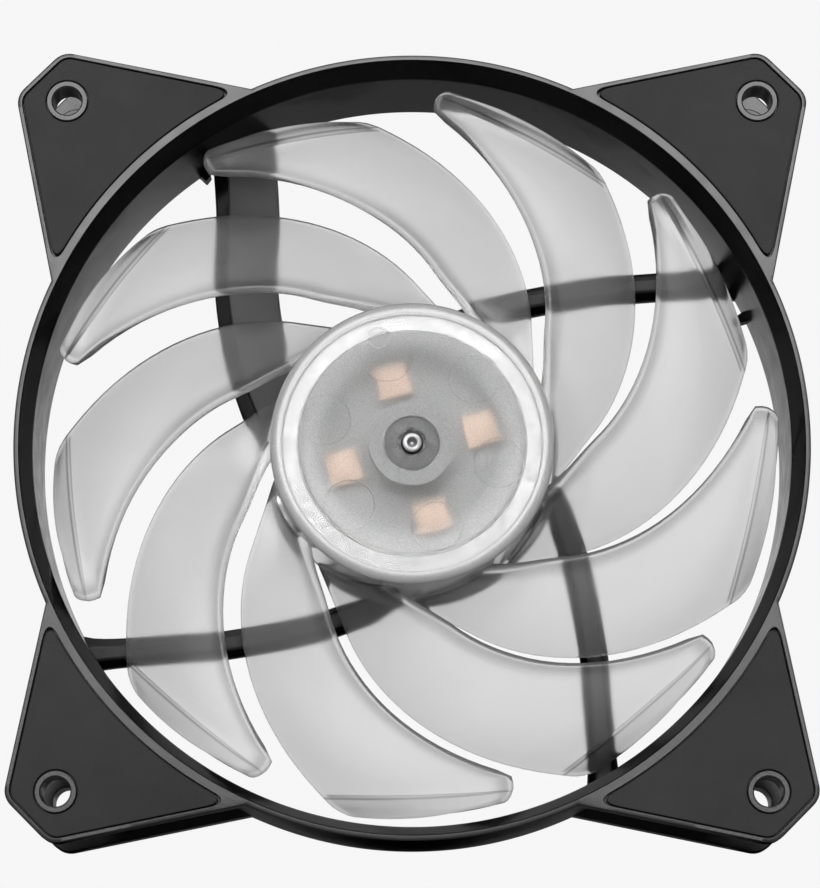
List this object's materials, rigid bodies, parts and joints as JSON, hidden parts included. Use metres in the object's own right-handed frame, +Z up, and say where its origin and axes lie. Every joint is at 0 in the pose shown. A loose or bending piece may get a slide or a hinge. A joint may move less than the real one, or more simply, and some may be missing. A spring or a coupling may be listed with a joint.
{
  "type": "case fan",
  "caption": "Square-cornered axial case fan: open-corner frame with soft corner pads, curved rear struts, and a frosted swept-blade impeller turning on a brushless motor with lights.",
  "frame": {"origin": "on the rotor axis, at the centre of the frame's box: half way across, half way up and half way through its 25 mm depth", "axes": "+Z up, +X to the right seen from the intake side, -Y out of the intake side and +Y out of the strut side; the rotor axis is parallel to Y"},
  "size_m": [0.12, 0.025, 0.12],
  "materials": {
    "frame_plastic": "black moulded plastic, fine satin grain outside and glossier in the bore",
    "pad_rubber": "matte dark grey rubber with a fine grain",
    "impeller_plastic": "frosted see-through plastic with glossy edges",
    "bright_steel": "bright plated steel",
    "bearing_brass": "plain turned brass",
    "bearing_bronze": "oiled sintered bronze",
    "magnet": "dark plastic-bonded ferrite",
    "lamination_steel": "stamped silicon steel sheets",
    "insulator_plastic": "off-white moulded plastic",
    "coil_wire": "enamelled copper wire",
    "board": "pale solder mask over fibreglass",
    "chip": "black moulded package",
    "light": "pale peach phosphor in a white package, unlit",
    "label": "plain dark sticker with nothing printed on it"
  },
  "bodies": {
    "body": {"frame": "frame_plastic", "front_pad_top_right": "pad_rubber", "front_pad_top_left": "pad_rubber", "front_pad_bottom_left": "pad_rubber", "front_pad_bottom_right": "pad_rubber", "rear_pad_top_right": "pad_rubber", "rear_pad_top_left": "pad_rubber", "rear_pad_bottom_left": "pad_rubber", "rear_pad_bottom_right": "pad_rubber", "rear_label": "label", "bearing_tube": "bearing_brass", "sleeve_bearing": "bearing_bronze", "thrust_pad": "insulator_plastic", "stator_core": "lamination_steel", "front_insulator": "insulator_plastic", "rear_insulator": "insulator_plastic", "coil_1": "coil_wire", "coil_2": "coil_wire", "coil_3": "coil_wire", "coil_4": "coil_wire", "driver_board": "board", "rotation_sensor": "chip", "led_board": "board", "led_1": "light", "led_2": "light", "led_3": "light", "led_4": "light"},
    "rotor": {"impeller": "impeller_plastic", "shaft": "bright_steel", "shaft_bushing": "bearing_brass", "yoke_ring": "bright_steel", "magnet_ring": "magnet", "oil_slinger": "insulator_plastic", "retaining_clip": "bright_steel"}
  },
  "joints": [
    {"name": "rotor_spin", "type": "hinge", "parent": "body", "child": "rotor", "pos_m": [0, 0, 0], "axis": [0, 1, 0], "continuous": true}
  ]
}
